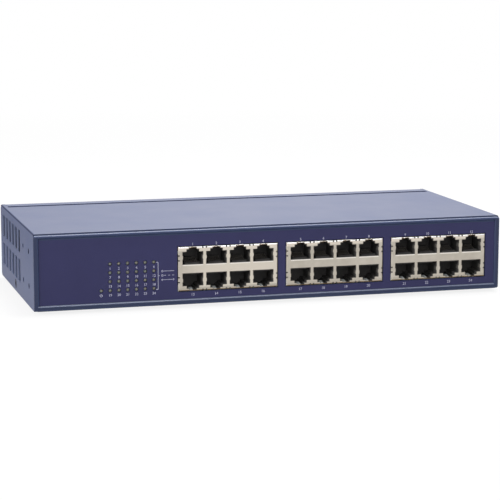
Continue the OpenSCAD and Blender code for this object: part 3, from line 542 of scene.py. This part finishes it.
def cleaned(piece):
    clearSelection()
    piece.select_set(True)
    bpy.context.view_layer.objects.active = piece
    bpy.ops.object.mode_set(mode="EDIT")
    bpy.ops.mesh.select_all(action="SELECT")
    bpy.ops.mesh.remove_doubles(threshold=0.0000004)
    bpy.ops.mesh.normals_make_consistent(inside=False)
    bpy.ops.object.mode_set(mode="OBJECT")


def onFilm(piece):
    dress(piece, "screen_ink")
    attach(piece, "chassis")


def printedMark(text, x, z, height):  # text scaled to its height, its middle at x and z
    clearSelection()
    bpy.ops.object.text_add(location=(0, 0, 0))
    mark = bpy.context.object
    mark.data.body = text
    mark.data.align_x = "CENTER"
    mark.data.align_y = "CENTER"
    mark.data.resolution_u = printing["curveSteps"]
    mark.data.extrude = printing["solid"]
    mark.data.offset = printing["bold"]
    bpy.ops.object.convert(target="MESH")
    mark = bpy.context.object
    heights = [v.co.y for v in mark.data.vertices]
    scale = height / (max(heights) - min(heights))
    middle = (max(heights) + min(heights)) / 2 * scale
    mark.scale = (scale, scale, printing["thick"])
    mark.rotation_euler = (math.pi / 2, 0, 0)
    mark.location = (x, filmFront - printing["thick"] / 2, z - middle)
    applyPlace(mark)
    return mark


def printedPortNumbers():
    marks = []
    for number in range(1, printing["ports"] + 1):
        row = "upper" if number <= printing["portColumns"] else "lower"
        marks.append(printedMark(
            str(number), portX(number), printing[row + "Z"], printing[row + "Height"]))
    return joined(marks, "port_numbers")


def printedLampNumbers():
    marks = []
    for number in range(1, printing["ports"] + 1):
        row, column = divmod(number - 1, printing["lampColumns"])
        marks.append(printedMark(
            str(number), printing["lampX"] + column * printing["lampStep"],
            printing["lampZ"] - row * printing["lampStep"] - printing["lampDrop"],
            printing["lampHeight"]))
    return joined(marks, "lamp_numbers")


def printedLine(points, width):  # a flat stroke through points given as x and z
    clearSelection()
    bpy.ops.curve.primitive_bezier_curve_add()
    line = bpy.context.object
    line.data.dimensions = "3D"
    line.data.splines.clear()
    spline = line.data.splines.new("POLY")
    spline.points.add(len(points) - 1)
    for point, (x, z) in zip(spline.points, points):
        point.co = (x, z, 0, 1)
    line.data.bevel_depth = width / 2
    line.data.bevel_resolution = 1
    line.data.use_fill_caps = True
    bpy.ops.object.convert(target="MESH")
    line = bpy.context.object
    line.scale = (1, 1, printing["thick"] / width)
    line.rotation_euler = (math.pi / 2, 0, 0)
    line.location = (0, filmFront - printing["thick"] / 2, 0)
    applyPlace(line)
    return line


def arc(x, z, radius, start, end, steps):  # from start to end, in degrees
    turns = [math.radians(start + (end - start) * i / steps) for i in range(steps + 1)]
    return [(x + radius * math.cos(turn), z + radius * math.sin(turn)) for turn in turns]


def printedBracket():
    x, top, bottom, bend, line = (bracket[k] for k in ("x", "top", "bottom", "bend", "line"))
    arm = x - bracket["arm"]
    middle = (top + bottom) / 2
    path = [(arm, top)]
    path += arc(x - bend, top - bend, bend, 90, 0, bracket["steps"])
    path += arc(x - bend, bottom + bend, bend, 0, -90, bracket["steps"])
    path.append((arm, bottom))
    return joined([
        printedLine(path, line),
        printedLine([(x, middle), (x + bracket["tick"], middle)], line)], "lamp_bracket")


def printedPowerSign():
    x, z, radius, gap, line = (powerSign[k] for k in ("x", "z", "radius", "gap", "line"))
    return joined([
        printedLine(arc(x, z, radius, 90 + gap, 450 - gap, powerSign["steps"]), line),
        printedLine([(x, z), (x, z + powerSign["bar"])], line)], "power_sign")


def printedLampSigns():  # steady, blinking and two-way
    x, right, radius, line = (lampSigns[k] for k in ("x", "end", "radius", "line"))
    steady, blinking, twoWay = lampSigns["z"]
    left = x + radius * lampSigns["start"]
    wing = radius * lampSigns["wing"]
    dash = (right - left) / (lampSigns["dashes"] * 2 - 1)
    strokes = [
        printedLine(arc(x + radius, z, radius, 0, 360, lampSigns["steps"]), line)
        for z in (steady, blinking)]
    strokes.append(printedLine([(left, steady), (right, steady)], line))
    for i in range(lampSigns["dashes"]):
        start = left + 2 * i * dash
        strokes.append(printedLine([(start, blinking), (start + dash, blinking)], line))
    strokes.append(printedLine([(x, twoWay), (right, twoWay)], line))
    for tip, back in ((x, wing), (right, -wing)):
        strokes.append(printedLine(
            [(tip + back, twoWay + wing), (tip, twoWay), (tip + back, twoWay - wing)], line))
    return joined(strokes, "lamp_signs")


print("stage: printing the numbers and signs")
for numbers in (printedPortNumbers(), printedLampNumbers()):
    cleaned(numbers)
    onFilm(numbers)
for sign in (printedBracket(), printedPowerSign(), printedLampSigns()):
    onFilm(sign)

# A pale floor that fades to white, and is dimmer in the gloss near the object, with a
# grey card at the back left that shows only in gloss
floorLook = dict(
    size=60.0, drop=0.0001, pale=("#e9e9ea", "#f1f1f1"), bounce="#98989a", grain=0.002,
    rough=0.75, depth=0.00001, fadeFrom=0.3, fadeTo=1.2, nearWhite=0.85,
    nearGloss=0.45, sideGloss=0.65, sideEdges=(0.12, 0.15), sideFront=(-0.3, -0.1),
    cardDepth=0.75, cardBack=(0.02, 0.2), cardSide=(-0.05, 0.1))
skyLook = dict(strength=0.35, card=0.75, cardEdges=(0.1, 0.25))
white = (1, 1, 1, 1)
lamps = {
    "back": dict(place=(0.5, 1.9, 1.1), size=1.4, power=4.0),
    "above": dict(place=(0.26, 0.06, 1.25), size=0.7, power=14.0),
    "left": dict(place=(-1.7, -0.5, 0.8), size=0.9, power=26.0),
    "front": dict(place=(-0.3, -1.6, 0.62), size=0.9, power=3.2),
}
cameraLook = dict(
    place=(-0.3036, -1.0861, 0.2090), down=0.165, roll=-0.001, turn=-0.275, lens=134.85,
    sensor=36.0, reach=200.0)


def directRays(sheet):  # what the camera sees, and what a mirror or glass shows
    path = sheet.add("ShaderNodeLightPath").socket.node
    seen, mirrored, through = [
        Value(sheet, path.outputs[name])
        for name in ("Is Camera Ray", "Is Glossy Ray", "Is Transmission Ray")]
    return seen, mirrored.greater(through)


def stageFloor():
    look = floorLook
    clearSelection()
    bpy.ops.mesh.primitive_plane_add(size=look["size"], location=(0, 0, -look["drop"]))
    floor = bpy.context.object
    floor.name = "floor"
    sheet = Finish("pale_floor", {"Specular IOR Level": 0.2})
    seen, shown = directRays(sheet)
    grain = sheet.noise(look["grain"])
    pale = sheet.mix(grain, tint(look["pale"][0]), tint(look["pale"][1]))
    colour = sheet.mix(seen, tint(look["bounce"]), pale)
    material = sheet.finish(colour, look["rough"], grain, look["depth"])
    x, y, z = sheet.parts()
    away = sheet.maths("SQRT", x * x + y * y).spread(look["fadeFrom"], look["fadeTo"])
    beside = (0 - x).spread(*look["sideEdges"]) * y.spread(*look["sideFront"])
    gloss = beside * (look["sideGloss"] - look["nearGloss"]) + look["nearGloss"]
    card = y.spread(*look["cardBack"]) * (0 - x).spread(*look["cardSide"]) * look["cardDepth"]
    levels = [away * (1 - near) + near for near in (look["nearWhite"], gloss)]
    factor = levels[0] * seen + levels[1] * shown * (1 - card)
    lit = Value(sheet, sheet.shader.outputs[0])
    plain = sheet.add("ShaderNodeEmission", {}, {"Color": white, "Strength": 1.0})
    sheet.show(sheet.add("ShaderNodeMixShader", {}, {0: factor, 1: lit, 2: plain}))
    floor.data.materials.append(material)


def areaLight(name, place, size, power):  # a round lamp that looks at the object
    clearSelection()
    bpy.ops.object.light_add(type="AREA", location=place)
    lamp = bpy.context.object
    lamp.name = name
    lamp.data.shape = "DISK"
    lamp.data.size = size
    lamp.data.energy = power
    lamp.rotation_euler = (-Vector(place)).to_track_quat("-Z", "Y").to_euler()


def stageLight():
    world = bpy.data.worlds.new("sky")
    bpy.context.scene.world = world
    world.use_nodes = True
    sky = Sheet(world.node_tree)
    straight, shown = directRays(sky)
    x, y, z = sky.split(sky.add("ShaderNodeTexCoord", output="Generated"))
    level = x.spread(*skyLook["cardEdges"]) * (1 - skyLook["card"]) + skyLook["card"]
    light, seen, card = [
        sky.add("ShaderNodeBackground", {}, {"Color": white, "Strength": strength})
        for strength in (skyLook["strength"], 1.0, level)]
    both = sky.add("ShaderNodeMixShader", {}, {0: straight, 1: light, 2: seen})
    sky.add("ShaderNodeOutputWorld", {}, {
        "Surface": sky.add("ShaderNodeMixShader", {}, {0: shown, 1: both, 2: card})})
    for name, lamp in lamps.items():
        areaLight(name, lamp["place"], lamp["size"], lamp["power"])


def stageCamera():
    look = cameraLook
    clearSelection()
    bpy.ops.object.camera_add(
        location=look["place"],
        rotation=(math.pi / 2 - look["down"], look["roll"], look["turn"]))
    camera = bpy.context.object
    camera.data.lens = look["lens"]
    camera.data.sensor_width = look["sensor"]
    camera.data.clip_end = look["reach"]
    bpy.context.scene.camera = camera


print("stage: floor, light and camera")
stageFloor()
stageLight()
stageCamera()
bpy.context.scene.view_settings.view_transform = "Standard"
